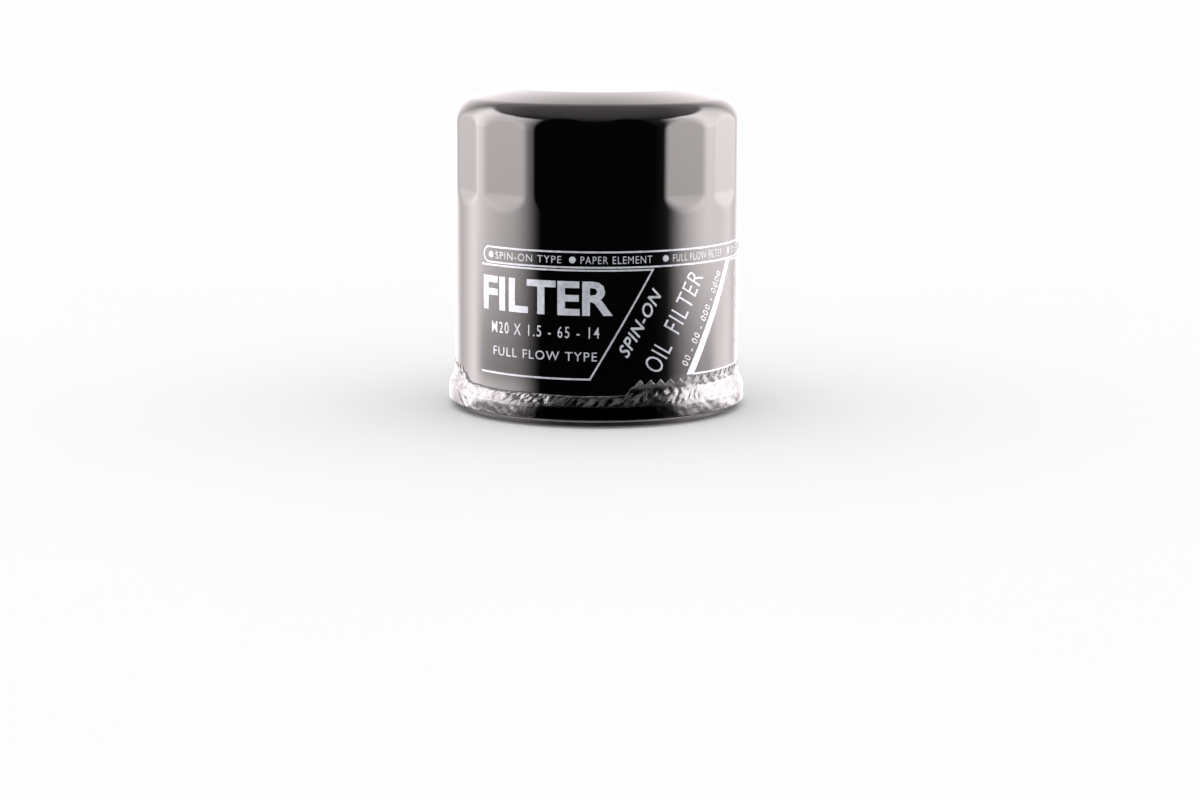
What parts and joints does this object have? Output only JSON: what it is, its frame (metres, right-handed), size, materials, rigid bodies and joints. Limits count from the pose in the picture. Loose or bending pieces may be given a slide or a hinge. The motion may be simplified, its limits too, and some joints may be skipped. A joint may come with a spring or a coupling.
{
  "type": "spin-on oil filter",
  "caption": "Spin-on oil filter for a small engine: black drawn-steel can with wrench flats, threaded base plate, gasket, pleated element, bypass valve and anti-drainback valve.",
  "frame": {"origin": "on the axis, in the plane of the base gasket's sealing face", "axes": "+Z along the axis, towards the closed end of the can; -Y is the printed front"},
  "size_m": [0.069, 0.069, 0.0744],
  "materials": {
    "black_paint": "gloss",
    "zinc_sheet": "satin",
    "plate_steel": "satin",
    "tinplate": "satin",
    "spring_steel": "satin",
    "gasket_rubber": "matte",
    "valve_rubber": "matte",
    "sealant": "matte",
    "plastisol": "satin",
    "filter_paper": "matte",
    "clear_film": "gloss"
  },
  "bodies": {
    "canister": {"shell": "black_paint", "seaming_lid": "zinc_sheet", "seam_sealant": "sealant", "base_plate": "plate_steel", "base_gasket": "gasket_rubber", "hold_down_spring": "spring_steel", "shrink_band": "clear_film"},
    "element": {"lower_end_cap": "tinplate", "upper_end_cap": "tinplate", "lower_adhesive": "plastisol", "upper_adhesive": "plastisol", "centre_tube": "zinc_sheet", "pleated_media": "filter_paper", "media_clip": "tinplate", "bypass_cage": "zinc_sheet", "bypass_spring": "spring_steel"},
    "bypass_poppet": {"bypass_disc": "plate_steel", "bypass_seal": "valve_rubber", "bypass_rivet": "plate_steel"},
    "drainback_flap": {"drainback_valve": "valve_rubber"}
  },
  "joints": [
    {"name": "element_float", "type": "slide", "parent": "canister", "child": "element", "axis": [0, 0, 1], "range_m": [0, 0.0015], "stiffness_N_per_m": 5000, "springref_m": -0.008, "deforming": ["hold_down_spring"]},
    {"name": "bypass_lift", "type": "slide", "parent": "element", "child": "bypass_poppet", "axis": [0, 0, -1], "range_m": [0, 0.0025], "stiffness_N_per_m": 1500, "springref_m": -0.007, "deforming": ["bypass_spring"]},
    {"name": "drainback_flap_lift", "type": "slide", "parent": "canister", "child": "drainback_flap", "axis": [0, 0, 1], "range_m": [0, 0.0012], "stiffness_N_per_m": 300, "springref_m": -0.001, "deforming": ["drainback_valve"]}
  ]
}
